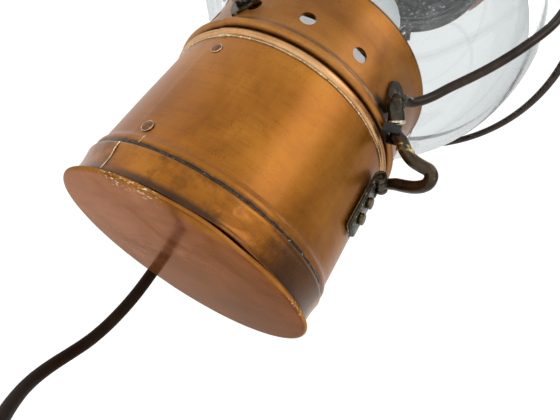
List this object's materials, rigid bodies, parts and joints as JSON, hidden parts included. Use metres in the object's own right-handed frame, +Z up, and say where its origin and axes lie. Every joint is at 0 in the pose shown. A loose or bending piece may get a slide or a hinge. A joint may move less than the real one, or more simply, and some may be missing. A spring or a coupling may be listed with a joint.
{
  "type": "ship's anchor lantern",
  "caption": "Copper onion lantern wired for mains: drum base with two side hooks, lift-off collar, glass globe in a wire guard, hood, chimney and bail.",
  "frame": {"origin": "underside of the bail's top, where a hook carries the lantern", "axes": "+Z up along the lamp's axis, +X through one side hook, -Y towards the drum's riveted seam"},
  "size_m": [0.2326, 0.2623, 0.5151],
  "materials": {
    "copper": "old lacquered copper sheet, satin, brown-orange with fine rubbing marks",
    "disc_copper": "reddish brown copper, half polished",
    "bronze": "dark bronze, worn to brass at edges",
    "brass": "tarnished brass",
    "clear_glass": "clear blown glass",
    "bulb_glass": "clear bulb glass",
    "felt": "grey felt",
    "cord": "dark brown round flex sheath",
    "black_plastic": "black moulded plastic"
  },
  "bodies": {
    "base": {"foot_band": "copper", "drum_shell": "copper", "drum_top_band": "copper", "drum_deck": "copper", "foot_disc": "disc_copper", "seam_rivet_lower": "bronze", "seam_rivet_upper": "bronze", "strap_right": "bronze", "strap_left": "bronze", "lampholder_skirt": "brass", "lampholder_ring": "brass", "lampholder_nut": "brass", "bulb_cap": "brass", "hinge_pin_right": "brass", "hinge_pin_left": "brass", "strap_rivet_lower_right": "brass", "strap_rivet_upper_right": "brass", "strap_rivet_lower_left": "brass", "strap_rivet_upper_left": "brass", "cord_gland": "brass", "gland_nut": "brass", "plug_pin_earth": "brass", "plug_pin_live": "brass", "plug_pin_neutral": "brass", "bulb_glass": "bulb_glass", "inner_lead": "cord", "cord_run": "cord", "cord_coil": "cord", "cord_tail": "cord", "lampholder_insert": "black_plastic", "cord_strain_relief": "black_plastic", "plug_neck": "black_plastic", "plug_body": "black_plastic"},
    "lantern": {"collar": "copper", "keeper_right": "bronze", "keeper_left": "bronze", "gallery": "copper", "globe_seat_lower": "brass", "globe_seat_upper": "brass", "felt_ring_lower": "felt", "felt_ring_upper": "felt", "globe": "clear_glass", "guard_hoop": "bronze", "guard_upright_right": "bronze", "guard_upright_back": "bronze", "guard_upright_left": "bronze", "guard_upright_front": "bronze", "lug_lower_right": "bronze", "lug_lower_back": "bronze", "lug_lower_left": "bronze", "lug_lower_front": "bronze", "hood": "copper", "chimney": "copper", "chimney_cap": "copper", "bail_ear_back": "bronze", "bail_ear_front": "bronze"},
    "hook_right": {"hook_right": "bronze"},
    "hook_left": {"hook_left": "bronze"},
    "bail": {"bail": "bronze"}
  },
  "joints": [
    {"name": "lantern_lift", "type": "slide", "parent": "base", "child": "lantern", "axis": [0, 0, 1], "range_m": [0, 0.12]},
    {"name": "hook_right_swing", "type": "hinge", "parent": "base", "child": "hook_right", "pos_m": [0.05912, 0.01419, -0.33895], "axis": [-0.2334, 0.9724, 0], "range_deg": [0, 45]},
    {"name": "hook_left_swing", "type": "hinge", "parent": "base", "child": "hook_left", "pos_m": [-0.05912, -0.01419, -0.33895], "axis": [0.2334, -0.9724, 0], "range_deg": [0, 45]},
    {"name": "bail_swing", "type": "hinge", "parent": "lantern", "child": "bail", "pos_m": [0, 0, -0.11285], "axis": [0, 1, 0], "range_deg": [-110, 110]}
  ]
}
